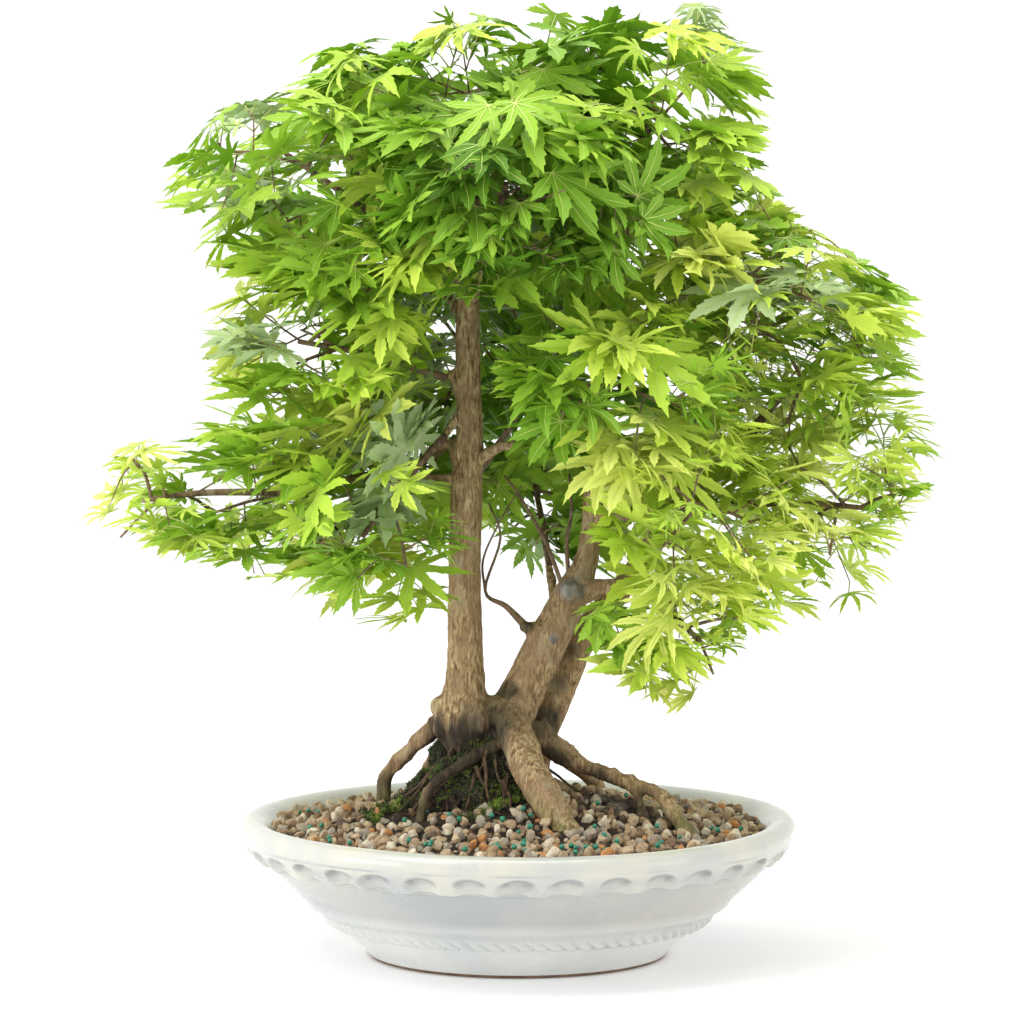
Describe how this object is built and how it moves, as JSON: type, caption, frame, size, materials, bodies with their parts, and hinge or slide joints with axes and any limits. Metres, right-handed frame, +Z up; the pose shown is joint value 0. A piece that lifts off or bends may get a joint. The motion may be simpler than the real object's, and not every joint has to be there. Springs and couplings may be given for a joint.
{
  "type": "potted bonsai japanese maple",
  "caption": "Bonsai Japanese maple with exposed roots, several stems and a full palmate-leaved crown, planted in a shallow round glazed pot. An ornamental plant for display.",
  "frame": {"origin": "centre of the pot's flat underside", "axes": "+Z up, -Y towards the tree's front, +X to the right as seen from the front"},
  "size_m": [0.4686, 0.29, 0.4848],
  "materials": {
    "glaze": "glossy off-white glaze",
    "soil": "gritty soil under gravel",
    "bark": "matt bark",
    "leaf": "thin satin leaves"
  },
  "bodies": {
    "root": {"pot": "glaze", "soil": "soil", "trunk": "bark", "right_stem": "bark", "rear_stem": "bark", "middle_bough": "bark", "right_bough": "bark", "top_left_bough": "bark", "upper_back_left_bough": "bark", "left_mid_bough": "bark", "left_low_bough": "bark", "left_tip_bough": "bark", "left_inner_bough": "bark", "centre_front_bough": "bark", "centre_low_bough": "bark", "centre_back_bough": "bark", "low_back_bough": "bark", "right_upper_bough": "bark", "right_back_bough": "bark", "right_out_low_bough": "bark", "right_front_low_bough": "bark", "right_bottom_bough": "bark", "right_back_low_bough": "bark", "between_stems_bough": "bark", "top_crown": "leaf", "top_left": "leaf", "upper_back_left": "leaf", "left_mid": "leaf", "left_low": "leaf", "left_tip": "leaf", "left_inner": "leaf", "centre_front": "leaf", "centre_low": "leaf", "centre_back": "leaf", "low_back": "leaf", "top_right": "leaf", "right_upper": "leaf", "right_back": "leaf", "right_mid": "leaf", "right_out_low": "leaf", "right_front_low": "leaf", "right_bottom": "leaf", "right_back_low": "leaf", "between_stems": "leaf"}
  },
  "joints": []
}
